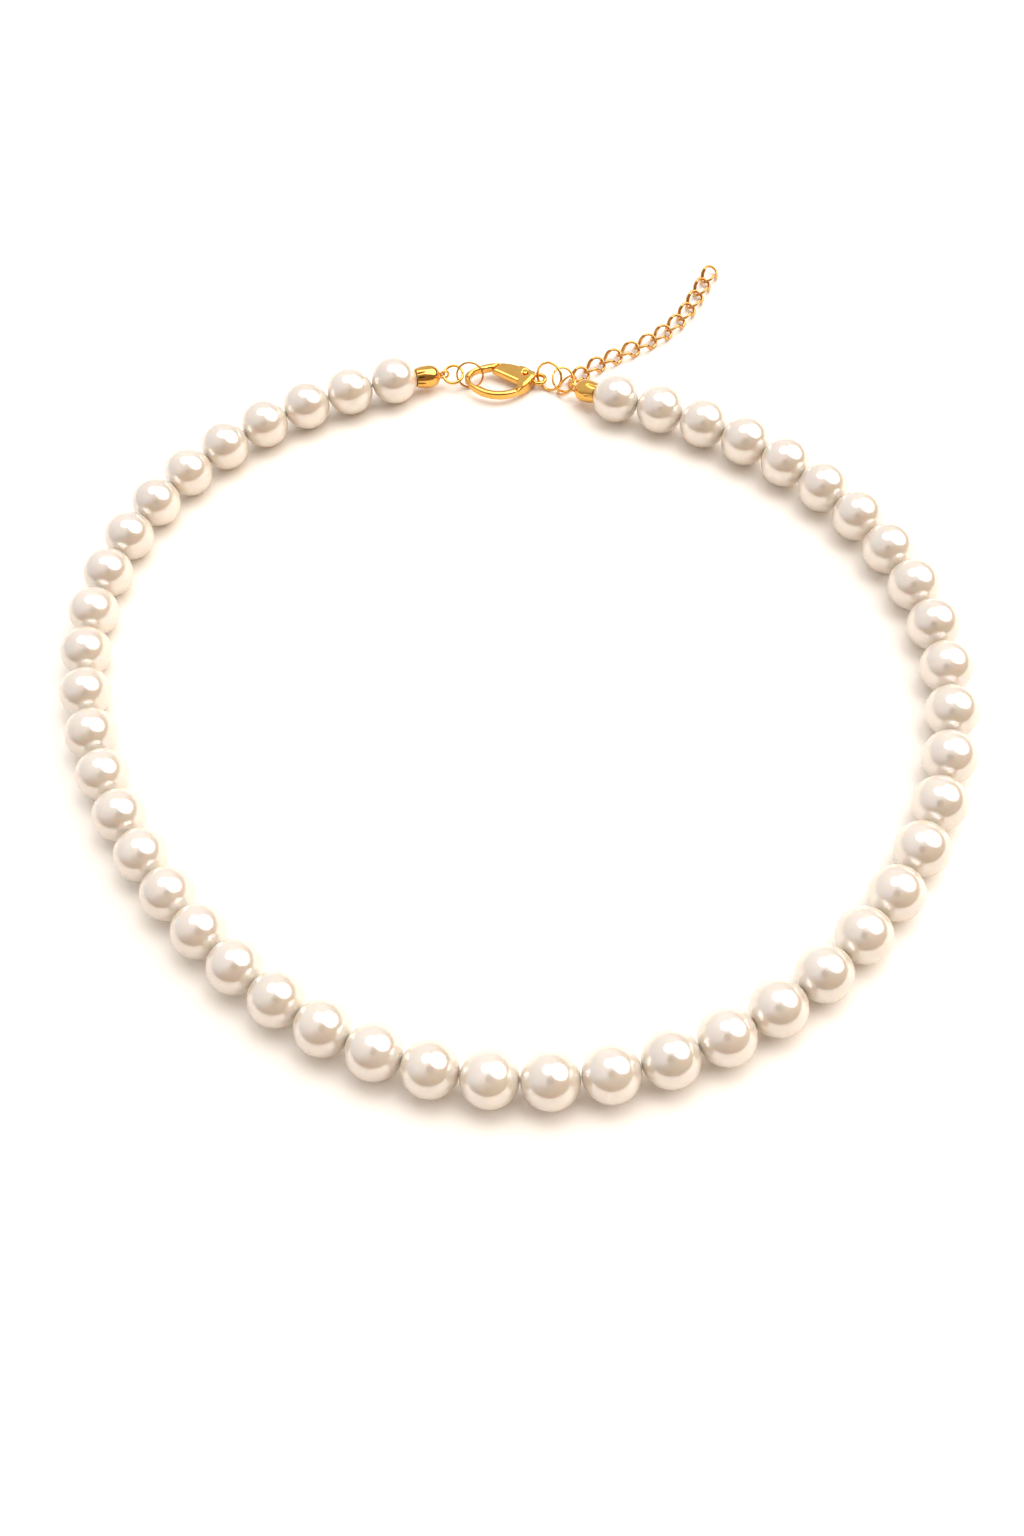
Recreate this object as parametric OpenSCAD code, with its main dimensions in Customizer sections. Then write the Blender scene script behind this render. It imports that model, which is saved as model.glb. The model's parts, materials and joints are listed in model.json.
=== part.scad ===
// Single-strand imitation pearl necklace with a lobster clasp and an extender chain,
// laid flat in a closed loop. It rests on z = 0, with the clasp at the back (+Y).

/* [Strand] */
// Number of pearls on the strand
pearl_n = 47; // [45:2:49]
// Diameter of one pearl
pearl_d = 8; // [7.6:0.1:8]
// Distance between the centres of neighbouring pearls
pearl_pitch = 8.05; // [8.05:0.01:8.2]
// Diameter of the hole drilled through each pearl
bore_d = 1.5; // [1.5:0.1:1.8]
// Diameter of the stringing thread
thread_d = 0.35; // [0.3:0.05:0.35]
// Sections that each side of the strand flexes between
side_sections = 6; // [4:1:6]
// Pearls in the section at the front
front_n = 3; // [3:2:5]

/* [Lay of the loop] */
// Angle that the strand turns through from its left end to its right end
lay_turn = 328; // [320:1:336]
// Heading of the strand at its middle
lay_heading = -9; // [-12:0.5:-6]
// Cosine amounts of the three waves that bend the loop off a circle, in degrees
lay_cos = [2.4, -3.9, -0.7];
// Sine amounts of the same waves, in degrees
lay_sin = [1.3, -0.4, -3.2];

/* [Bead tips] */
// Outer radius of the clamshell ball
tip_r = 1.95; // [1.8:0.05:2]
// Wall of the clamshell ball
tip_wall = 0.35; // [0.3:0.05:0.4]
// Distance from an end pearl's centre to the ball's centre
tip_reach = 6.4; // [6.1:0.05:6.5]
// Angle at which a tip falls from its pearl towards the table
tip_fall = 11; // [8:1:15]
// Heading of the left tip
left_heading = 9; // [6:1:12]
// Heading of the right tip
right_heading = 139; // [135:1:143]

/* [Clasp] */
// Length of the clasp without its eye
clasp_l = 12; // [11.8:0.1:12.2]
// Width of the hook's arms
arm_w = 1.15; // [1:0.05:1.3]
// Thickness of the hook's arms
arm_t = 1.5; // [1.3:0.1:1.6]
// Thickness across the two cheeks that hold the lever
cheek_t = 2.6; // [2.5:0.1:2.8]
// Heading of the clasp, from the hook to the eye
clasp_heading = -9.5; // [-12:0.5:-8]
// Rise of the clasp towards its hook end, which lies on a ring
clasp_rise = 3; // [2:0.5:4]

/* [Extender] */
// Number of links
link_n = 11; // [8:1:11]
// Distance between the centres of neighbouring links
link_pitch = 3.55; // [3.5:0.05:3.6]
// Radius of a link's end bows, on the wire's centreline
bow_r = 1.3; // [1.25:0.05:1.35]
// Half of the straight length between the bows
link_half = 0.78; // [0.76:0.01:0.8]
// Radius of the chain's wire
link_wire = 0.26; // [0.24:0.01:0.28]
// Twist between a link's two bows, which lets the curb chain lie flat
link_twist = 64; // [56:1:70]

/* [Hidden] */
$fn = 48;
gold = [0.86, 0.64, 0.22];
light_gold = [0.88, 0.68, 0.38];
ivory = [0.95, 0.92, 0.87];
thread_white = [0.96, 0.95, 0.92];
sides = ["left", "right"];
// How far a round corner stands proud of the rods that meet in it, and how far these stay apart
knuckle = 0.05;

// The loop. Its own origin is under the first pearl, at the left of the clasp.
function heading(u) = lay_heading + lay_turn * (u - 0.5)
    + lay_cos * [for (k = [1:3]) cos(360 * k * u)]
    + lay_sin * [for (k = [1:3]) sin(360 * k * u)];
function gap_heading(i) = heading((i + 0.5) / (pearl_n - 1));
function along(h, fall = 0) = [cos(fall) * cos(h), cos(fall) * sin(h), -sin(fall)];
pearls = [for (i = 0, p = [0, 0, pearl_d / 2]; i < pearl_n;
               p = p + pearl_pitch * along(gap_heading(i)), i = i + 1) p];
left_end = pearls[0];
right_end = pearls[pearl_n - 1];

// The extender lies behind the loop's right end in a gentle double bend.
link_z = bow_r * sin(link_twist / 2) + link_wire + knuckle / 2;
link_start = [32.25, -2.6, link_z];
function link_heading(i) = 39 - 19 * cos(30 * (i - 2.8));
links = [for (i = 0, p = link_start; i < link_n;
              p = p + link_pitch * along(link_heading(i + 0.5)), i = i + 1) p];
link_reach = link_half + bow_r + link_wire;
chain_end = links[link_n - 1] + link_reach * along(link_heading(link_n - 1));

// The model's origin is under the middle of everything.
xs = [for (p = pearls) p.x];
mid_x = (min(xs) + max(xs)) / 2;
mid_y = (min([for (p = pearls) p.y]) - pearl_d / 2 + chain_end.y) / 2;
module lay() translate([-mid_x, -mid_y, 0]) children();

// The turn that takes +Z to direction d.
function facing(d) = [0, acos(d.z / norm(d)), atan2(d.y, d.x)];

// A round rod from a to b.
module rod(a, b, r) translate(a) rotate(facing(b - a)) cylinder(r = r, h = norm(b - a));

// A wire ring that faces +Z, then leans back by tilt and turns by yaw.
module ring(at, r, wire, tilt, yaw)
    lay() translate(at) rotate([tilt, 0, yaw])
        rotate_extrude() translate([r, 0]) circle(r = wire);

// Strand sections: the front one is 0, and each side counts from the front to the clasp.
mid = (pearl_n - 1) / 2;
side_n = (pearl_n - front_n) / 2;
function edge(k) = (front_n - 1) / 2 + round(k * side_n / side_sections);
function section(side, k) = k == 0 ? [mid - edge(0), mid + edge(0)]
    : side == "left" ? [mid - edge(k), mid - edge(k - 1) - 1]
    : [mid + edge(k - 1) + 1, mid + edge(k)];

// The thread leaves pearl i towards the next pearl (way 1) or the one before (way -1).
function leaving(i, way) =
    way < 0 ? (i == 0 ? along(left_heading, tip_fall) : -along(gap_heading(i - 1)))
    : i == pearl_n - 1 ? along(right_heading, tip_fall) : along(gap_heading(i));

// The bore runs straight through, halfway between the two directions that the thread takes.
module pearl(i) {
    drill = leaving(i, 1) - leaving(i, -1);
    translate(pearls[i]) rotate(facing(drill)) difference() {
        sphere(d = pearl_d);
        cylinder(d = bore_d, h = 2 * pearl_d, center = true);
    }
}

// A ball that joins rods which run along d, with the ball's own seam to one side of them.
module joint_ball(at, d, r) translate(at) rotate([0, 0, atan2(d.y, d.x) + 90]) sphere(r = r);

module pearl_section(side, k)
    color(ivory) lay() for (i = [section(side, k)[0]:section(side, k)[1]]) pearl(i);

knot_r = 0.45;
tail_l = tip_reach + 1;
module thread_section(side, k) {
    first = section(side, k)[0];
    last = section(side, k)[1];
    color(thread_white) lay() {
        for (i = [first:last]) joint_ball(pearls[i], leaving(i, 1), thread_d / 2 + knuckle);
        for (i = [first:1:last - 1]) {
            set_in = knuckle * leaving(i, 1);
            rod(pearls[i] + set_in, pearls[i + 1] - set_in, thread_d / 2);
        }
        thread_end(first, -1);
        thread_end(last, 1);
    }
}

// The thread runs half a gap past its section, or into the bead tip, where it is knotted.
module thread_end(i, way) {
    knotted = (way < 0 && i == 0) || (way > 0 && i == pearl_n - 1);
    end = pearls[i] + (knotted ? tail_l : pearl_pitch / 2) * leaving(i, way);
    rod(pearls[i] + knuckle * leaving(i, way), end, thread_d / 2);
    if (knotted) joint_ball(end, leaving(i, way), knot_r);
}

// Bead tips: +X runs from the pearl to the loop, and the origin is the ball's centre.
loop_r = 0.75;
loop_wire = 0.22;
loop_x = tip_r + loop_r;
mouth_x = 1.4;
slit = 0.15;
notch_r = 0.2;
module at_tip(side)
    lay() translate((side == "left" ? left_end : right_end)
                    + tip_reach * along(tip_heading(side), tip_fall))
        rotate([0, tip_fall, tip_heading(side)]) children();
function tip_heading(side) = side == "left" ? left_heading : right_heading;

module bead_tip(side) color(gold) at_tip(side) {
    difference() {
        rotate([0, 0, 180]) sphere(r = tip_r);
        rotate([0, 0, 180]) sphere(r = tip_r - tip_wall);
        translate([-mouth_x - tip_r, 0, 0]) cube(2 * tip_r, center = true);
        translate([-tip_r, -tip_r, -slit / 2]) cube([tip_r + 1.1, 2 * tip_r, slit]);
        for (a = [45:90:315]) rotate([a, 0, 0]) translate([-mouth_x, 0, 0])
            cylinder(r = notch_r, h = tip_r);
    }
    translate([loop_x, 0, 0]) rotate([90, 0, 0])
        rotate_extrude() translate([loop_r, 0]) circle(r = loop_wire);
}

crimp_r = 0.75;
crimp_l = 1;
crimp_gap = 0.03;
module crimp(side) color(gold) at_tip(side) rotate([0, 90, 0]) difference() {
    cylinder(r = crimp_r, h = crimp_l, center = true);
    cylinder(r = thread_d / 2 + crimp_gap, h = 2 * crimp_l, center = true);
}

// Rings, each with its centre, centreline radius, wire radius, tilt and yaw.
module left_ring() color(gold) ring([10.4, 1.1, 2.3], 1.7, 0.27, 18, -11);
module hook_ring() color(light_gold) ring([13.3, 0.25, 2.4], 2.3, 0.2, 68, -10);
module tip_ring() color(gold) ring([29.9, -4.7, 1.47], 2, 0.2, 38, -104);
module junction_ring() color(gold) ring([29.4, -3.65, 1.85], 2.1, 0.22, 44, 40);
module clasp_ring() color(gold) ring([27.05, -3, 2.45], 2.4, 0.25, 64, -39);

// Clasp: +X runs from the hook's outer end to the eye, in the middle plane.
clasp_at = [12.3, 0, 2.05];
top_r = 8.2;
top_at = [6.2, 3.45 - top_r];
low_r = 6.65;
low_at = [6.2, low_r - 4.6];
nose_r = 1.62;
throat_at = [3.1, -0.35];
throat_r = 2.05;
seam = [[4.7, 1.75], [6.3, 3.6]];
corner = [9.3, -1.1];
seam_gap = 0.08;
cheek_x = 9.4;
pocket_end = 12.05;
pivot = [10.7, 0.45];
hub_r = 1.15;
lever_t = 1.3;
rivet_r = 0.4;
rivet_gap = 0.03;
eye_at = 13.15;
eye_r = 1.08;
eye_wire = 0.38;
module at_clasp()
    lay() translate(clasp_at) rotate([0, clasp_rise, clasp_heading]) children();

module outline() {
    translate([nose_r, 0]) circle(r = nose_r);
    intersection() {
        translate(top_at) circle(r = top_r, $fn = 120);
        translate(low_at) circle(r = low_r, $fn = 120);
        translate([0.3 * nose_r, -10]) square([clasp_l, 20]);
    }
}

module throat() {
    translate(throat_at) circle(r = throat_r);
    intersection() {
        translate(top_at) circle(r = top_r - arm_w, $fn = 120);
        translate(low_at) circle(r = low_r - arm_w, $fn = 120);
        translate([throat_at.x, -10]) square([clasp_l - throat_at.x, 20]);
    }
}

module bar(t) linear_extrude(height = t, center = true) children();

// The half plane that the lever's edges bound, towards the top right.
module lever_side(gap) polygon([seam[0] + [gap, -gap], seam[1] + [gap, -gap], [7, 6],
                                [13, 6], [13, corner.y + gap], corner + [gap, gap]]);

module clasp_body() color(gold) at_clasp() difference() {
    union() {
        bar(arm_t) outline();
        bar(cheek_t) intersection() {
            outline();
            translate([cheek_x, -10]) square([10, 20]);
        }
        translate([eye_at, 0, 0]) rotate_extrude() translate([eye_r, 0]) circle(r = eye_wire);
        translate([clasp_l - 0.5, -0.45, -0.4]) cube([0.9, 0.9, 0.8]);
    }
    // the throat, and the gap that the lever closes
    bar(2 * cheek_t) intersection() {
        union() {
            throat();
            lever_side(0);
        }
        translate([-1, -10]) square([cheek_x + 1, 20]);
    }
    // the slot between the cheeks that the lever swings in
    bar(lever_t + 0.2) intersection() {
        union() {
            throat();
            lever_side(0);
        }
        translate([0, -10]) square([pocket_end, 20]);
    }
    translate(pivot) cylinder(r = rivet_r, h = 2 * cheek_t, center = true);
}

spring_turn_r = 0.66;
spring_wire = 0.1;
spring_turns = 3;
spring_step = 1.8 * spring_wire;
spring_floor = lever_t / 2 - spring_turns * spring_step - 0.15;
module clasp_lever() color(gold) at_clasp() difference() {
    bar(lever_t) {
        intersection() {
            outline();
            lever_side(seam_gap);
            translate([-1, -10]) square([pivot.x + 1, 20]);
        }
        translate(pivot) circle(r = hub_r);
    }
    translate(pivot) cylinder(r = rivet_r + rivet_gap, h = 2 * cheek_t, center = true);
    translate([pivot.x, pivot.y, spring_floor]) cylinder(r = 0.84, h = cheek_t);
}

module clasp_rivet() color(gold) at_clasp()
    translate(pivot) cylinder(r = rivet_r, h = cheek_t, center = true);

module clasp_spring() color("silver") at_clasp() for (k = [0:spring_turns - 1])
    translate([pivot.x, pivot.y, spring_floor + 0.1 + spring_wire + k * spring_step])
        rotate_extrude() translate([spring_turn_r, 0]) circle(r = spring_wire);

// One curb link: two half-round bows, turned against each other, and two sides.
module bow(turn) rotate([turn, 0, 0]) translate([link_half, 0, 0]) rotate([0, 0, -90])
    rotate_extrude(angle = 180) translate([bow_r, 0]) circle(r = link_wire);
function bow_foot(x, side, turn) = [x, side * bow_r * cos(turn), side * bow_r * sin(turn)];
module extender_link(i) color(light_gold) lay() translate(links[i])
    rotate([0, 0, link_heading(i)]) {
        bow(link_twist / 2);
        mirror([1, 0, 0]) bow(-link_twist / 2);
        for (side = [-1, 1]) {
            a = bow_foot(-link_half, side, -link_twist / 2);
            b = bow_foot(link_half, side, link_twist / 2);
            rod(a, b, link_wire);
            for (p = [a, b]) translate(p) sphere(r = link_wire + knuckle / 2);
        }
    }

pearl_section("front", 0);  // pearls_front
thread_section("front", 0);  // thread_front
for (s = sides, k = [1:side_sections]) {
    pearl_section(s, k);
    thread_section(s, k);
}
for (s = sides) {
    bead_tip(s);
    crimp(s);
}
left_ring();
hook_ring();
tip_ring();
junction_ring();
clasp_ring();
clasp_body();
clasp_lever();
clasp_rivet();
clasp_spring();
for (i = [0:link_n - 1])
    extender_link(i);
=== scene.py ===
"""Looks for the pearl necklace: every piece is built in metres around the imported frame."""
import json
import math

import bmesh
import bpy
import numpy as np
from mathutils import Matrix, Vector
from mathutils.kdtree import KDTree

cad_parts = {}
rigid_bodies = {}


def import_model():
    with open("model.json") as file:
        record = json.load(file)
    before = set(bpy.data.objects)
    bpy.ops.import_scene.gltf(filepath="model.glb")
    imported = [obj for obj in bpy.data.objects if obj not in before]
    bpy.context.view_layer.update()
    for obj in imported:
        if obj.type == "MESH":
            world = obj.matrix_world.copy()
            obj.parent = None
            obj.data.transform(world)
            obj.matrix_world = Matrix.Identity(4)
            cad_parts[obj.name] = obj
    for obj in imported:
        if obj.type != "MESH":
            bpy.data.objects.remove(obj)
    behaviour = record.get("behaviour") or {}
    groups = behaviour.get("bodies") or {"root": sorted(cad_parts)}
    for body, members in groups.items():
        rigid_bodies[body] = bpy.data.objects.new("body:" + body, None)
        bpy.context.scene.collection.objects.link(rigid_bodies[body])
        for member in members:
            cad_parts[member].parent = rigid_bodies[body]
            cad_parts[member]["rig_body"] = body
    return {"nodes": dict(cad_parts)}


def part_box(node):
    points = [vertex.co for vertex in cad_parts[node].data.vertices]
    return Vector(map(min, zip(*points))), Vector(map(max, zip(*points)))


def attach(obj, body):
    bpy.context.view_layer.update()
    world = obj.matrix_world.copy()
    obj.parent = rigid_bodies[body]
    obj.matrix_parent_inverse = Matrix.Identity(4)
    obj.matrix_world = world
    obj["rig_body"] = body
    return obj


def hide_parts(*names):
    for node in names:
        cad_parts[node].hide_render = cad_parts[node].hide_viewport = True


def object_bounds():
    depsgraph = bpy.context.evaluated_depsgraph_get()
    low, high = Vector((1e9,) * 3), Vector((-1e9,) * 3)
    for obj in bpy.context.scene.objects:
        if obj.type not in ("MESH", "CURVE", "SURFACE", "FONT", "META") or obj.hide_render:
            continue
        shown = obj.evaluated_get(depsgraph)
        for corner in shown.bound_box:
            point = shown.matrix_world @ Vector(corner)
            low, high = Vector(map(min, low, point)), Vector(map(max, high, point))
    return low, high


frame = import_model()
cad_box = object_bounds()

MM = 0.001
SIDES = ("left", "right")
scene = bpy.context.scene


# ---------------------------------------------------------------- reading the frame

def corners(node):
    """A CAD node's vertices at rest, without doubles."""
    co = np.array([v.co for v in frame["nodes"][node].data.vertices], float)
    return np.unique(np.round(co, 7), axis=0)


def body_of(node):
    return frame["nodes"][node]["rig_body"]


def lumps(node):
    """The centre of each separate solid in a node, found from its corners."""
    mesh = frame["nodes"][node].data
    co = np.round(np.array([v.co for v in mesh.vertices], float), 7)
    unique, where = np.unique(co, axis=0, return_inverse=True)
    root = list(range(len(unique)))

    def find(i):
        while root[i] != i:
            root[i] = root[root[i]]
            i = root[i]
        return i

    for edge in mesh.edges:
        a, b = (find(int(where[v])) for v in edge.vertices)
        root[a] = b
    groups = {}
    for i in range(len(unique)):
        groups.setdefault(find(i), []).append(unique[i])
    return [(np.min(g, axis=0) + np.max(g, axis=0)) / 2 for g in groups.values()]


def own_axes(node):
    """Centre, axes and half sizes of a node along its own principal directions, longest first."""
    co = corners(node)
    _, _, axes = np.linalg.svd(co - co.mean(axis=0), full_matrices=False)
    along = co @ axes.T
    low, high = along.min(axis=0), along.max(axis=0)
    return (low + high) / 2 @ axes, axes, (high - low) / 2


def unit(v):
    v = np.array(v, float)
    return v / np.linalg.norm(v)


def full_turn(count):
    """Even angles round a circle, without the first one again at the end."""
    return np.linspace(0, 2 * math.pi, count + 1)[:-1]


def clamped(x, low=0.0, high=1.0):
    return max(low, min(high, x))


def eased(x):
    """From 0 to 1, level at both ends."""
    x = clamped(x)
    return x * x * (3 - 2 * x)


# ---------------------------------------------------------------- mesh building

def piece(name, verts, faces, material, body, slot, *nodes):
    """A smooth mesh that rides on a CAD body and stands for CAD nodes."""
    mesh = bpy.data.meshes.new(name)
    mesh.from_pydata([tuple(v) for v in verts], [], faces)
    mesh.validate()
    cleaned = bmesh.new()
    cleaned.from_mesh(mesh)
    bmesh.ops.recalc_face_normals(cleaned, faces=cleaned.faces)
    cleaned.to_mesh(mesh)
    cleaned.free()
    finish_piece(name, mesh, material, body, slot, *nodes)


def finish_piece(name, mesh, material, body, slot, *nodes):
    obj = bpy.data.objects.new(name, mesh)
    scene.collection.objects.link(obj)
    obj.data.materials.clear()
    obj.data.materials.append(material)
    obj.data.polygons.foreach_set("use_smooth", [True] * len(obj.data.polygons))
    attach(obj, body)
    if nodes:
        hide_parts(*nodes)


class Shape:
    """Vertices and faces that several surfaces are added to."""

    def __init__(self):
        self.verts, self.faces = [], []

    def grid(self, rows, loop_rows=False, cap=False):
        """A skin of quads through closed rows of points. loop_rows joins the last row to the first."""
        start, n, m = len(self.verts), len(rows), len(rows[0])
        for row in rows:
            self.verts.extend(row)
        for i in range(n if loop_rows else n - 1):
            for j in range(m):
                a, b = start + i * m, start + (i + 1) % n * m
                k = (j + 1) % m
                self.faces.append((a + j, a + k, b + k, b + j))
        if cap:
            for row, way in ((0, -1), (n - 1, 1)):
                ring = [start + row * m + j for j in range(m)]
                self.faces.append(tuple(ring[::way]))
        return self


def transported(path, closed):
    """Tangents and two cross directions at each point of a path, turning as little as they can."""
    path = np.array(path, float)
    ahead = np.roll(path, -1, axis=0) if closed else np.vstack([path[1:], path[-1:]])
    behind = np.roll(path, 1, axis=0) if closed else np.vstack([path[:1], path[:-1]])
    tangents = [unit(t) for t in ahead - behind]
    not_along = [0.3, 0.2, 1]
    side = unit(np.cross(tangents[0], not_along))
    sides = []
    for t in tangents:
        side = unit(side - np.dot(side, t) * t)
        sides.append(side)
    if closed:
        t = tangents[0]
        back = unit(sides[-1] - np.dot(sides[-1], t) * t)
        slip = math.atan2(np.dot(np.cross(back, sides[0]), t), np.dot(back, sides[0]))
        for i, t in enumerate(tangents):
            a = slip * i / len(tangents)
            sides[i] = math.cos(a) * sides[i] + math.sin(a) * np.cross(t, sides[i])
    return path, tangents, sides


def sweep(shape, path, radius, count, closed=False, section=None):
    """A tube along a path. radius is a number or a function of the path's share; section adds lobes."""
    path, tangents, sides = transported(path, closed)
    rows = []
    for i, (p, t, s) in enumerate(zip(path, tangents, sides)):
        share = i / (len(path) - 1)
        r = radius(share) if callable(radius) else radius
        up = np.cross(t, s)
        row = []
        for j in range(count):
            a = 2 * math.pi * j / count
            k = section(a, i) if section else 1
            row.append(p + r * k * (math.cos(a) * s + math.sin(a) * up))
        rows.append(row)
    return shape.grid(rows, loop_rows=closed, cap=not closed)


def turned(shape, profile, origin, axis, count, bend=None, ripple=None):
    """A loop of (distance along the axis, radius) turned about the axis. ripple scales the radius."""
    axis = unit(axis)
    not_along = [0.31, 0.17, 0.9]
    side = unit(np.cross(axis, not_along))
    up = np.cross(axis, side)
    rows = []
    for x, r in profile:
        row = []
        for j in range(count):
            a = 2 * math.pi * j / count
            k = ripple(x, a) if ripple else 1
            row.append(x * axis + r * k * (math.cos(a) * side + math.sin(a) * up))
        rows.append(row)
    if bend is not None:
        rows = [[bend(p) for p in row] for row in rows]
    rows = [[origin + p for p in row] for row in rows]
    return shape.grid(rows, loop_rows=True)


# ---------------------------------------------------------------- materials

def material(name, **sockets):
    """A Principled material whose even values are set on the shader's own sockets."""
    made = bpy.data.materials.new(name)
    made.use_nodes = True
    shader = made.node_tree.nodes["Principled BSDF"]
    for key, value in sockets.items():
        shader.inputs[key.replace("_", " ")].default_value = value
    return made, made.node_tree, shader


def node(tree, kind, **values):
    """A shader node; each value is one of its settings or, failing that, one of its sockets."""
    made = tree.nodes.new(kind)
    for key, value in values.items():
        if hasattr(made, key):
            setattr(made, key, value)
        else:
            made.inputs[key.replace("_", " ")].default_value = value
    return made


def noise(tree, scale, detail, roughness=0.5):
    """The strength of a noise pattern that is fixed to the object."""
    place = node(tree, "ShaderNodeTexCoord")
    made = node(tree, "ShaderNodeTexNoise", Scale=scale, Detail=detail, Roughness=roughness)
    tree.links.new(place.outputs["Object"], made.inputs["Vector"])
    return made.outputs["Fac"]


def ramp(tree, source, stops):
    made = node(tree, "ShaderNodeValToRGB")
    elements = made.color_ramp.elements
    while len(elements) < len(stops):
        elements.new(0.5)
    for element, (position, colour) in zip(elements, stops):
        element.position = position
        element.color = (*colour, 1)
    tree.links.new(source, made.inputs["Fac"])
    return made


def drive(tree, shader, socket, source, stops):
    """Sets one of the shader's sockets from a pattern, through a ramp of colours or greys."""
    tree.links.new(ramp(tree, source, stops).outputs["Color"], shader.inputs[socket])


def bump(tree, shader, source, strength, distance):
    made = node(tree, "ShaderNodeBump", Strength=strength, Distance=distance)
    tree.links.new(source, made.inputs["Height"])
    tree.links.new(made.outputs["Normal"], shader.inputs["Normal"])


def grey(low, high):
    """A ramp's stops for a value that varies between two limits."""
    return [(0.3, (low,) * 3), (0.7, (high,) * 3)]


def pearl_material():
    """Cream nacre under clear lacquer: a bright mirror that still lets the warm body show."""
    made, tree, shader = material(
        "pearl", Metallic=0.0, Roughness=0.16, IOR=3.8, Coat_Weight=0.5, Coat_Roughness=0.05,
        Coat_IOR=1.5, Subsurface_Weight=0.8, Subsurface_Scale=0.004,
        Subsurface_Radius=(1.0, 0.55, 0.28), Sheen_Weight=0.1, Sheen_Roughness=0.4,
        Sheen_Tint=(1.0, 0.93, 0.86, 1))
    drive(tree, shader, "Base Color", noise(tree, scale=170, detail=1.5),
          [(0.32, (0.64, 0.56, 0.465)), (0.5, (0.67, 0.59, 0.49)), (0.68, (0.70, 0.62, 0.52))])
    lacquer = noise(tree, scale=2600, detail=2)
    drive(tree, shader, "Roughness", lacquer, grey(0.13, 0.19))
    bump(tree, shader, lacquer, strength=0.05, distance=0.03 * MM)
    return made


def gold_material(name, dark, light, smooth, rough):
    made, tree, shader = material(name, Metallic=1.0)
    drive(tree, shader, "Base Color", noise(tree, scale=420, detail=3), [(0.3, dark), (0.7, light)])
    wear = noise(tree, scale=2200, detail=4, roughness=0.6)
    drive(tree, shader, "Roughness", wear, grey(smooth, rough))
    bump(tree, shader, wear, strength=0.12, distance=0.02 * MM)
    return made


def thread_material():
    made, tree, shader = material("thread", Roughness=0.75, Sheen_Weight=0.4)
    fibres = noise(tree, scale=9000, detail=4)
    drive(tree, shader, "Base Color", fibres, [(0.3, (0.80, 0.77, 0.70)), (0.7, (0.95, 0.93, 0.88))])
    bump(tree, shader, fibres, strength=0.4, distance=0.04 * MM)
    return made


def steel_material():
    made, tree, shader = material("spring_steel", Metallic=1.0)
    drawn = noise(tree, scale=5000, detail=3)
    drive(tree, shader, "Base Color", drawn, [(0.3, (0.55, 0.55, 0.57)), (0.7, (0.72, 0.72, 0.74))])
    drive(tree, shader, "Roughness", drawn, grey(0.25, 0.4))
    return made


PEARL = pearl_material()
GOLD = gold_material("gold", (0.74, 0.40, 0.085), (0.82, 0.47, 0.12), 0.06, 0.13)
LIGHT_GOLD = gold_material("light_gold", (0.58, 0.30, 0.09), (0.68, 0.37, 0.13), 0.10, 0.18)
THREAD = thread_material()
STEEL = steel_material()


# ---------------------------------------------------------------- the strand

def count_of(prefix):
    return len([n for n in frame["nodes"] if n.startswith(prefix)])


SECTIONS = ([f"left_{k}" for k in range(count_of("pearls_left_"), 0, -1)] + ["front"]
            + [f"right_{k}" for k in range(1, count_of("pearls_right_") + 1)])
TIP_AT = {side: own_axes(f"{side}_crimp")[0] for side in SIDES}


def strand():
    """Every pearl's centre and its section, from the left bead tip round to the right one."""
    found, last = [], TIP_AT["left"]
    for section in SECTIONS:
        left = lumps(f"pearls_{section}")
        while left:
            nearest = min(range(len(left)), key=lambda i: np.linalg.norm(left[i] - last))
            last = left.pop(nearest)
            found.append((last, section))
    return found


PEARLS = strand()
LINE = [TIP_AT["left"]] + [centre for centre, _ in PEARLS] + [TIP_AT["right"]]
PEARL_R = (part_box("pearls_front")[1].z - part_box("pearls_front")[0].z) / 2
BORE_R = 0.42 * MM
RIM_R = 0.12 * MM
# Below this angle, in radians, a pearl's bore isn't bent.
STRAIGHT = 1e-4
# How far a section's thread runs towards the next pearl or tip, as a share of the way.
THREAD_TO_JOINT = 0.499
THREAD_INTO_TIP = 1.1


def pearl_profile():
    """Up the bore's wall, round its rim, over the pearl and back down, as (along, radius)."""
    rim_from = BORE_R + RIM_R
    reach = math.sqrt((PEARL_R - RIM_R) ** 2 - rim_from ** 2)
    tilt = math.atan2(rim_from, reach)
    wall = [(x * reach, BORE_R) for x in (0, 0.4, 0.8)]
    rim = []
    for a in np.linspace(math.pi, math.pi / 2 - tilt, 6):
        rim.append((reach + RIM_R * math.sin(a), rim_from + RIM_R * math.cos(a)))
    over = [(PEARL_R * math.cos(a), PEARL_R * math.sin(a))
            for a in np.linspace(tilt, math.pi - tilt, 44)[1:-1]]
    far_side = [(-x, r) for x, r in reversed(wall[1:] + rim)]
    return wall + rim + over + far_side


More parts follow.
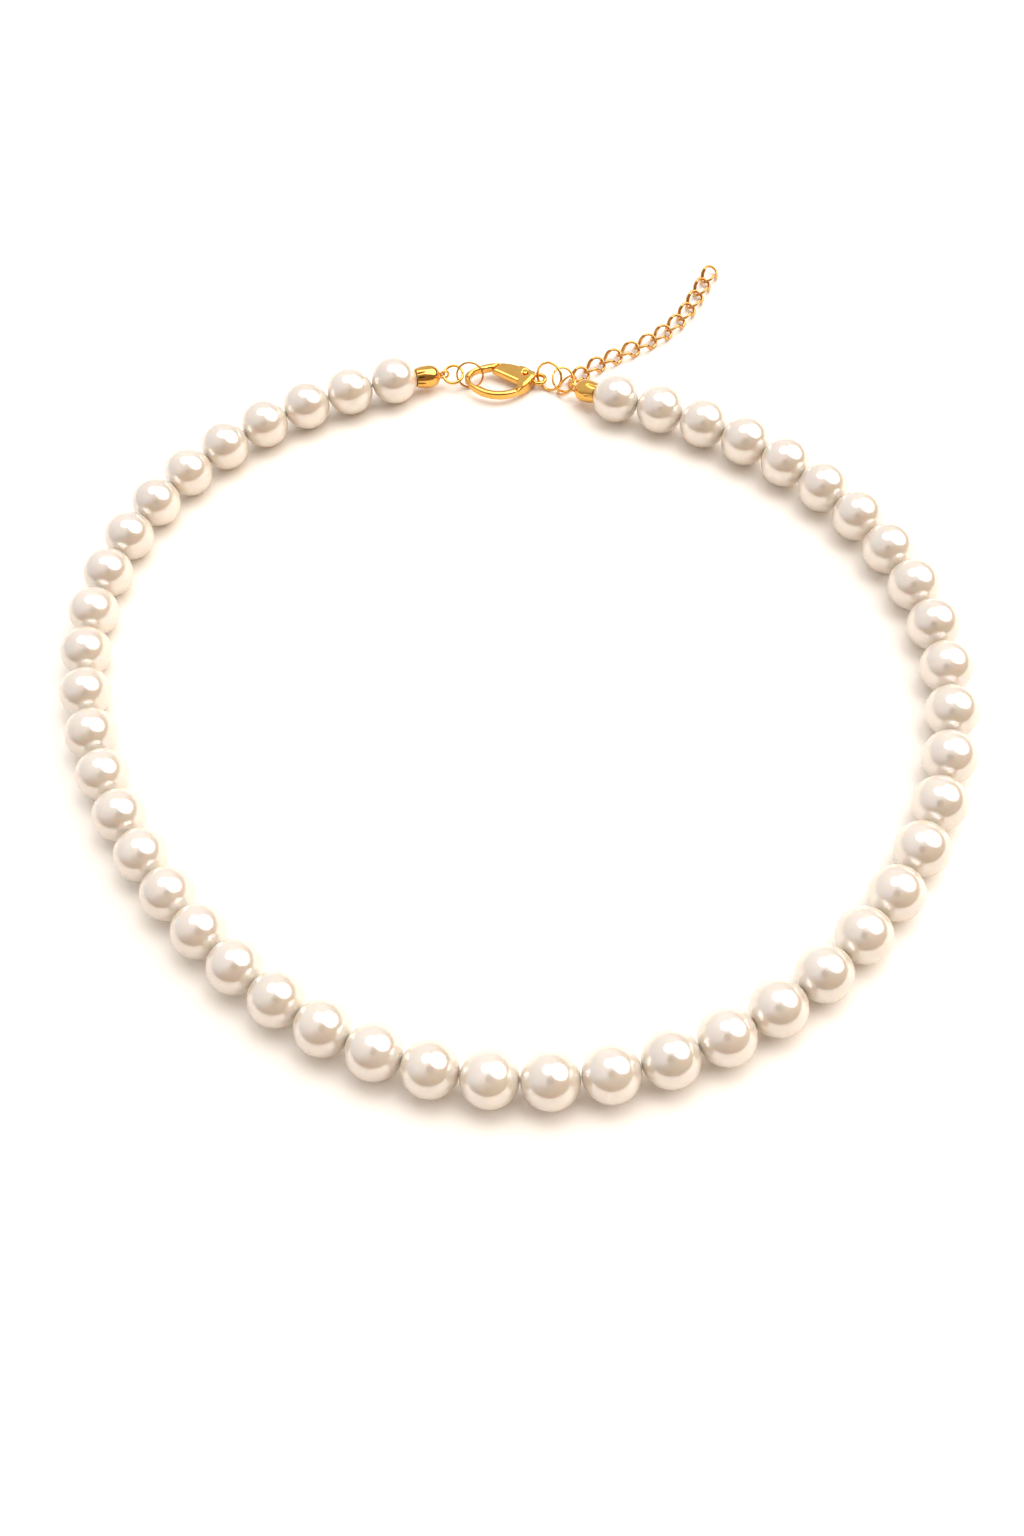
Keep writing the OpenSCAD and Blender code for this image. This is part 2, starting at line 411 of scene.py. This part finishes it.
def pearls():
    profile = pearl_profile()
    for i, (centre, section) in enumerate(PEARLS):
        before, after = unit(centre - LINE[i]), unit(LINE[i + 2] - centre)
        axis = unit(before + after)
        half = math.acos(clamped(float(np.dot(axis, after)), -1))
        hinge = Vector(np.cross(axis, after)) if half > STRAIGHT else Vector((0, 0, 1))

        def bend(p, axis=axis, half=half, hinge=hinge):
            """Each end of the bore turns to meet its own neighbour; a point keeps its distance."""
            lift = clamped(float(np.dot(p, axis)) / PEARL_R, -1)
            return np.array(Matrix.Rotation(half * lift * abs(lift), 3, hinge) @ Vector(p))

        shape = turned(Shape(), profile, centre, axis, 56, bend)
        first = i == 0 or PEARLS[i - 1][1] != section
        piece(f"pearl_{i + 1:02d}", shape.verts, shape.faces, PEARL, section, "pearl",
              *([f"pearls_{section}"] if first else []))


def thread_path(section, step):
    """Points along a section's thread, evenly spaced between its stops, and whether each end is knotted."""
    inside = [i for i, (_, owner) in enumerate(PEARLS) if owner == section]
    ends, knotted = [], []
    for i, way in ((inside[0], -1), (inside[-1], 1)):
        here, there = LINE[i + 1], LINE[i + 1 + way]
        knotted.append(i + 1 + way in (0, len(LINE) - 1))
        ends.append(here + (there - here) * (THREAD_INTO_TIP if knotted[-1] else THREAD_TO_JOINT))
    stops = [ends[0]] + [LINE[i + 1] for i in inside] + [ends[1]]
    path = []
    for p, q in zip(stops, stops[1:]):
        n = max(2, round(np.linalg.norm(q - p) / step))
        path += [p + (q - p) * k / n for k in range(n)]
    path.append(stops[-1])
    return path, knotted


def threads():
    """A twisted thread of three plies through each section, knotted inside the bead tips."""
    step, radius, pitch = 0.2 * MM, 0.19 * MM, 1.4 * MM
    plies, lobe = 3, 0.1
    knot_size, knot_thread = 0.1 * MM, 0.13 * MM

    def twist(a, i):
        return 1 + lobe * math.cos(plies * (a - 2 * math.pi * i * step / pitch))

    for section in SECTIONS:
        path, knotted = thread_path(section, step)
        shape = sweep(Shape(), path, radius, 12, section=twist)
        for is_knot, end in zip(knotted, (path[0], path[-1])):
            if is_knot:
                t = full_turn(48)
                trefoil = np.stack([np.sin(t) + 2 * np.sin(2 * t), np.cos(t) - 2 * np.cos(2 * t),
                                    -np.sin(3 * t)], axis=1)
                sweep(shape, end + trefoil * knot_size, knot_thread, 8, closed=True)
        piece(f"thread_ply_{section}", shape.verts, shape.faces, THREAD, section, "thread",
              f"thread_{section}")


# ---------------------------------------------------------------- hardware

TIP_BALL_R = 1.95 * MM
TIP_WALL = 0.32 * MM
TIP_WIRE = 0.22 * MM
NECK_R = 0.42 * MM
NECK = 0.5 * MM
# How far the skirt reaches past the pearl's near side, and the share by which it narrows.
SKIRT_LAP = 0.12 * MM
SKIRT_NARROWS = 0.17
GROOVES = 6
GROOVE_DEPTH = 0.2
GROOVES_FROM = 0.9 * MM


def skirt_r(share):
    """The skirt narrows from the ball's widest place, at 0, to the mouth, at 1."""
    return TIP_BALL_R * (1 - SKIRT_NARROWS * share ** 2.2)


def clamshell_profile(skirt):
    """Over the ball and down the skirt, round the lip and back up inside, as (along, radius)."""
    cavity = TIP_BALL_R - TIP_WALL
    outer = [(TIP_BALL_R * math.cos(a), TIP_BALL_R * math.sin(a))
             for a in np.linspace(0.02, math.pi / 2, 26)]
    outer += [(-skirt * k, skirt_r(k)) for k in np.linspace(0, 1, 18)[1:]]
    rim_x, rim_r = outer[-1]
    lip = [(rim_x - 0.03 * MM, rim_r - 0.05 * MM), (rim_x - 0.03 * MM, rim_r - 0.17 * MM),
           (rim_x + 0.03 * MM, rim_r - 0.22 * MM)]
    inner = [(-skirt * k, skirt_r(k) - TIP_WALL) for k in np.linspace(0.9, 0, 12)]
    inner += [(cavity * math.cos(a), cavity * math.sin(a)) for a in np.linspace(math.pi / 2, 0.02, 18)[1:]]
    return outer + lip + inner


def bead_tips():
    """A ball with a fluted skirt down to the pearl, and a neck and a round loop on the other side."""
    for side in SIDES:
        node_name = f"{side}_bead_tip"
        pearl = PEARLS[0 if side == "left" else -1][0]
        centre = TIP_AT[side]
        axis = unit(centre - pearl)
        skirt = np.linalg.norm(centre - pearl) - PEARL_R + SKIRT_LAP

        def flutes(x, a, skirt=skirt):
            """Narrow grooves that deepen towards the mouth, with flat petals between them."""
            near = clamped((-GROOVES_FROM - x) / (skirt - GROOVES_FROM)) ** 0.7
            petal = min(1.0, abs(math.sin(GROOVES / 2 * a)) * 3.2)
            return 1 - GROOVE_DEPTH * near * (1 - petal)

        shape = turned(Shape(), clamshell_profile(skirt), centre, axis, 120, ripple=flutes)
        loop_end = ((corners(node_name) - centre) @ axis).max()
        loop_r = (loop_end - TIP_BALL_R - TIP_WIRE) / 2
        loop_at = centre + axis * (TIP_BALL_R + loop_r)
        upward = np.cross(axis, unit(np.cross([0, 0, 1], axis)))
        circle = [loop_at + loop_r * (math.cos(t) * axis + math.sin(t) * upward) for t in full_turn(40)]
        sweep(shape, circle, TIP_WIRE, 16, closed=True)
        neck_from = centre + axis * (TIP_BALL_R - TIP_WALL * 0.6)
        neck = [neck_from + axis * s * NECK for s in (0, 0.33, 0.66, 1)]
        sweep(shape, neck, lambda s: NECK_R + (TIP_WIRE - NECK_R) * s, 16)
        piece(f"clamshell_{side}", shape.verts, shape.faces, GOLD, body_of(node_name), "gold", node_name)
        crimp = frame["nodes"][f"{side}_crimp"].data
        crimp.materials.clear()
        crimp.materials.append(GOLD)


# Each ring's CAD node, material, slot, and the angle round it at which its wire's ends meet.
RINGS = (("left_ring", GOLD, "gold", 2.0), ("hook_ring", LIGHT_GOLD, "light_gold", 4.4),
         ("tip_ring", GOLD, "gold", 1.0), ("junction_ring", GOLD, "gold", 3.0),
         ("clasp_ring", GOLD, "gold", 5.4))


def rings():
    """Jump rings, each closed with a fine butt joint, and a little finer than their CAD wire."""
    gap, finer = 0.03, 0.94
    worn, rises = 0.86, 14
    for node_name, made, slot, at in RINGS:
        centre, axes, half = own_axes(node_name)
        radius = (half[0] + half[1]) / 2 - half[2]
        wire = half[2] * finer
        path = [centre + radius * (math.cos(t) * axes[0] + math.sin(t) * axes[1])
                for t in np.linspace(at + gap / 2, at + 2 * math.pi - gap / 2, 97)]

        def worn_ends(s, wire=wire):
            """The wire's two ends are rounded off where they meet."""
            return wire * min(1, worn + rises * min(s, 1 - s))

        shape = sweep(Shape(), path, worn_ends, 18)
        piece(f"jump_{node_name}", shape.verts, shape.faces, made, body_of(node_name), slot, node_name)


# Along the clasp from its outer end, the cheeks that hold the lever begin, and then the eye.
CHEEKS_FROM = 9.4 * MM
EYE_FROM = 12.1 * MM
# The arm's half thickness, and the length over which it swells into the cheeks.
ARM_HALF = 0.75 * MM
SWELL = 1.2 * MM
# The share of the thickness that the faces lose at their edges.
CROWN = 0.36
# A wall's normal leans less than this towards the faces.
UPRIGHT = 0.35


def clasp_frame():
    """The clasp's outer end, and its length, width and thickness directions."""
    pivot, rivet_axes, _ = own_axes("clasp_rivet")
    centre, axes, half = own_axes("clasp_body")
    through = rivet_axes[0] * (1 if rivet_axes[0][2] > 0 else -1)
    length = unit(axes[0] - np.dot(axes[0], through) * through)
    if np.dot(pivot - centre, length) < 0:
        length = -length
    start = centre - length * half[0]
    start = start + through * np.dot(pivot - start, through)
    return start, np.array([length, np.cross(through, length), through])


def ellipsoid(shape, centre, axes, radii):
    rows = []
    for a in np.linspace(0.05, math.pi - 0.05, 24):
        rows.append([centre + axes[0] * radii[0] * math.cos(a)
                     + math.sin(a) * (axes[1] * radii[1] * math.cos(t) + axes[2] * radii[2] * math.sin(t))
                     for t in full_turn(24)])
    return shape.grid(rows, cap=True)


def thumb_tab():
    """The small tab on the lever's outer edge that a thumbnail pulls."""
    along, out = 7.0 * MM, 3.35 * MM
    radii = np.array([0.8, 0.38, 0.5]) * MM
    start, axes = clasp_frame()
    return ellipsoid(Shape(), start + np.array([along, out, 0]) @ axes, axes, radii)


def voxel_skin(node_name, voxel, added):
    """One closed mesh round a CAD part, and round an added shape if there is one."""
    obj = bpy.data.objects.new("skin", frame["nodes"][node_name].data.copy())
    scene.collection.objects.link(obj)
    if added:
        joined = bmesh.new()
        joined.from_mesh(obj.data)
        corner = [joined.verts.new(v) for v in added.verts]
        for face in added.faces:
            joined.faces.new([corner[i] for i in face])
        bmesh.ops.recalc_face_normals(joined, faces=joined.faces)
        joined.to_mesh(obj.data)
        joined.free()
    weld = obj.modifiers.new("weld", "WELD")
    weld.merge_threshold = 1e-6
    skin = obj.modifiers.new("skin", "REMESH")
    skin.mode = "VOXEL"
    skin.voxel_size = voxel
    even = obj.modifiers.new("even", "SMOOTH")
    even.factor = 0.5
    even.iterations = 4
    bpy.context.view_layer.update()
    mesh = bpy.data.meshes.new_from_object(obj.evaluated_get(bpy.context.evaluated_depsgraph_get()))
    bpy.data.objects.remove(obj)
    return mesh


def crown_faces(mesh, dome):
    """Makes the hook's arm thinner than the cheeks, and slopes both faces down to the nearest edge."""
    start, axes = clasp_frame()
    local = [(np.array(v.co) - start) @ axes.T for v in mesh.vertices]
    tilt = [abs(float(np.dot(v.normal, axes[2]))) for v in mesh.vertices]
    slot_edge = ARM_HALF + 0.08 * MM
    walls = [p for p, n in zip(local, tilt)
             if n < UPRIGHT and (p[0] < CHEEKS_FROM or abs(p[2]) > slot_edge)]
    near = KDTree(len(walls))
    for i, p in enumerate(walls):
        near.insert((p[0], p[1], 0), i)
    near.balance()
    for v, p in zip(mesh.vertices, local):
        if p[0] > EYE_FROM:
            continue
        cheek = eased((p[0] - CHEEKS_FROM) / SWELL)
        w = abs(p[2])
        if w > ARM_HALF:
            w = ARM_HALF + (w - ARM_HALF) * cheek
        reach = dome + 0.5 * dome * cheek
        x = min(1.0, near.find((p[0], p[1], 0))[2] / reach)
        w *= 1 - CROWN * (1 - math.sqrt(1 - (1 - x) ** 2))
        v.co = start + np.array([p[0], p[1], math.copysign(w, p[2])]) @ axes


def cast(node_name, name, voxel, rounds, dome, added=None):
    """A cast and polished copy of a CAD clasp part, with crowned faces and rounded edges."""
    mesh = voxel_skin(node_name, voxel, added)
    crown_faces(mesh, dome)
    polished = bmesh.new()
    polished.from_mesh(mesh)
    for _ in range(rounds):
        bmesh.ops.smooth_vert(polished, verts=polished.verts, factor=0.5,
                              use_axis_x=True, use_axis_y=True, use_axis_z=True)
    polished.to_mesh(mesh)
    polished.free()
    finish_piece(name, mesh, GOLD, body_of(node_name), "gold", node_name)


def rivet():
    """A pin with a domed head on each cheek."""
    centre, axes, half = own_axes("clasp_rivet")
    reach, radius, dome = half[0], (half[1] + half[2]) / 2, 0.12 * MM
    head_r, shank_r = radius * 0.98, radius - 0.02 * MM
    cap_at, shank_end = reach - 0.04 * MM, reach - 0.1 * MM
    cap = [(cap_at + dome * math.cos(a), head_r * math.sin(a)) for a in np.linspace(0.05, 1.5, 8)]
    profile = cap + [(shank_end, shank_r), (0, shank_r)]
    profile = profile + [(-x, r) for x, r in reversed(profile[:-1])]
    shape = turned(Shape(), profile, centre, axes[0], 40)
    piece("rivet_domed", shape.verts, shape.faces, GOLD, body_of("clasp_rivet"), "gold", "clasp_rivet")


def spring():
    """A coil without legs, lying round the rivet's axis."""
    centre, axes, half = own_axes("clasp_spring")
    wire, play, turns = 0.09 * MM, 0.1 * MM, 2.5
    coil, rise = (half[0] + half[1]) / 2 - play, 2 * (half[2] - play)
    path = [centre + coil * (math.cos(t) * axes[0] + math.sin(t) * axes[1])
            + axes[2] * rise * (t / (2 * math.pi * turns) - 0.5)
            for t in np.linspace(0, 2 * math.pi * turns, 120)]
    shape = sweep(Shape(), path, wire, 10)
    piece("spring_coil", shape.verts, shape.faces, STEEL, body_of("clasp_spring"), "spring_steel",
          "clasp_spring")


def clasp():
    cast("clasp_body", "lobster_hook", voxel=0.07 * MM, rounds=10, dome=0.55 * MM)
    cast("clasp_lever", "lobster_lever", voxel=0.06 * MM, rounds=8, dome=0.6 * MM, added=thumb_tab())
    rivet()
    spring()


def link_line(straight, bow, twist):
    """A curb link's centreline: two half-round bows, turned against each other, joined by two sides."""
    flat = [(straight + bow * math.cos(a), bow * math.sin(a))
            for a in np.linspace(-math.pi / 2, math.pi / 2, 25)]
    flat += [(straight * (1 - 2 * k / 10), bow) for k in range(1, 10)]
    flat += [(-x, -y) for x, y in flat]
    line = []
    for x, y in flat:
        share = clamped(x / straight, -1)
        a = twist / 2 * math.sin(share * math.pi / 2)
        line.append((x, y * math.cos(a), y * math.sin(a)))
    return line


def extender():
    """Twisted curb links, each along its own CAD link's length."""
    wire, bow, twist, stouter = 0.25 * MM, 1.3 * MM, math.radians(64), 0.36
    for i in range(1, count_of("extender_link_") + 1):
        node_name = f"extender_link_{i}"
        centre, axes, half = own_axes(node_name)
        ahead = unit([axes[0][0], axes[0][1], 0])
        across = np.cross([0, 0, 1], ahead)
        basis = np.array([ahead, across, [0, 0, 1]])
        straight = half[0] - bow - wire
        line = link_line(straight, bow, twist)
        path = [centre + np.array(p) @ basis for p in line]

        def thick(share, line=line, straight=straight):
            """The wire is stoutest at the middle of each side, where no other link passes."""
            x = line[min(len(line) - 1, round(share * (len(line) - 1)))][0]
            return wire * (1 + stouter * (1 - min(1.0, abs(x) / straight) ** 2))

        shape = sweep(Shape(), path, thick, 14, closed=True)
        piece(f"curb_link_{i}", shape.verts, shape.faces, LIGHT_GOLD, body_of(node_name), "light_gold",
              node_name)


# ---------------------------------------------------------------- studio

def camera():
    """The photo's view, solved from the spacing of the pearls: from the front and above, a little rolled."""
    off_middle = (-1.3 * MM, -22.9 * MM)
    distance, height, roll = 235.6 * MM, math.radians(57.63), math.radians(-8.36)
    middle = (Vector(cad_box[0]) + Vector(cad_box[1])) / 2
    target = Vector((middle.x + off_middle[0], middle.y + off_middle[1], 0))
    back = Vector((0, -math.cos(height), math.sin(height)))
    up = Vector((0, math.sin(height), math.cos(height)))
    right = Vector((1, 0, 0))
    turned_right = right * math.cos(roll) + up * math.sin(roll)
    turned_up = up * math.cos(roll) - right * math.sin(roll)
    data = bpy.data.cameras.new("camera")
    data.sensor_fit = "VERTICAL"
    data.sensor_height = 36
    data.lens = 36.7
    data.clip_start = 0.005
    obj = bpy.data.objects.new("camera", data)
    basis = Matrix((turned_right, turned_up, back)).transposed().to_4x4()
    obj.matrix_world = Matrix.Translation(target + back * distance) @ basis
    scene.collection.objects.link(obj)
    scene.camera = obj
    return obj


def floor():
    """A warm pale table, lit so brightly that only its shadows show their colour."""
    made, _, shader = material("table", Roughness=0.6)
    shader.inputs["Base Color"].default_value = (0.99, 0.925, 0.84, 1)
    size, drop = 3.0, 0.02 * MM
    mesh = bpy.data.meshes.new("table")
    mesh.from_pydata([(-size, -size, 0), (size, -size, 0), (size, size, 0), (-size, size, 0)], [],
                     [(0, 1, 2, 3)])
    obj = bpy.data.objects.new("table", mesh)
    obj.data.materials.append(made)
    obj.location.z = -drop
    scene.collection.objects.link(obj)


def soft_light(name, direction, distance, size, radiance, colour):
    """A round softbox facing the table's middle, as bright per unit of its face as asked for."""
    data = bpy.data.lights.new(name, "AREA")
    data.shape = "DISK"
    data.size = size
    data.energy = radiance * (math.pi * size / 2) ** 2
    data.color = colour
    obj = bpy.data.objects.new(name, data)
    way = Vector(direction).normalized()
    obj.location = way * distance
    obj.rotation_euler = way.to_track_quat("Z", "Y").to_euler()
    obj.visible_camera = False
    scene.collection.objects.link(obj)


def lens_shadow(eye):
    """The dark camera front that every pearl mirrors: a card behind the camera that only gloss sees."""
    card_r, behind = 62 * MM, 12 * MM
    made, _, shader = material("camera_front", Roughness=0.5)
    shader.inputs["Base Color"].default_value = (0.02, 0.018, 0.016, 1)
    rim = [(card_r * math.cos(a), card_r * math.sin(a), 0) for a in full_turn(48)]
    mesh = bpy.data.meshes.new("camera_front")
    mesh.from_pydata(rim, [], [tuple(range(len(rim)))])
    obj = bpy.data.objects.new("camera_front", mesh)
    obj.data.materials.append(made)
    obj.matrix_world = eye.matrix_world @ Matrix.Translation((0, 0, behind))
    obj.visible_camera = False
    obj.visible_diffuse = False
    obj.visible_shadow = False
    scene.collection.objects.link(obj)


def studio():
    """A pale room, brightest behind the necklace and dim and warm at the viewer's side, and two lamps."""
    brightest_way = (-0.45, 0.55, 0.70)
    lamp_white = (1.0, 0.99, 0.98)
    world = bpy.data.worlds.new("studio")
    scene.world = world
    world.use_nodes = True
    tree = world.node_tree
    place = node(tree, "ShaderNodeTexCoord")
    lean = node(tree, "ShaderNodeVectorMath", operation="DOT_PRODUCT")
    tree.links.new(place.outputs["Generated"], lean.inputs[0])
    lean.inputs[1].default_value = unit(brightest_way)
    walls = ramp(tree, lean.outputs["Value"],
                 [(0.0, (0.36, 0.25, 0.16)), (0.3, (0.46, 0.41, 0.385)),
                  (0.6, (0.88, 0.88, 0.92)), (1.0, (0.98, 0.99, 1.0))])
    tree.links.new(walls.outputs["Color"], tree.nodes["Background"].inputs["Color"])
    tree.nodes["Background"].inputs["Strength"].default_value = 0.9
    soft_light("key", (0.62, 0.14, 0.77), distance=1.2, size=1.45, radiance=3.2, colour=lamp_white)
    soft_light("top", (-0.05, 0.33, 0.94), distance=1.4, size=0.95, radiance=2.6, colour=lamp_white)
    scene.view_settings.view_transform = "Standard"


eye = camera()
floor()
lens_shadow(eye)
studio()
pearls()
threads()
bead_tips()
rings()
clasp()
extender()
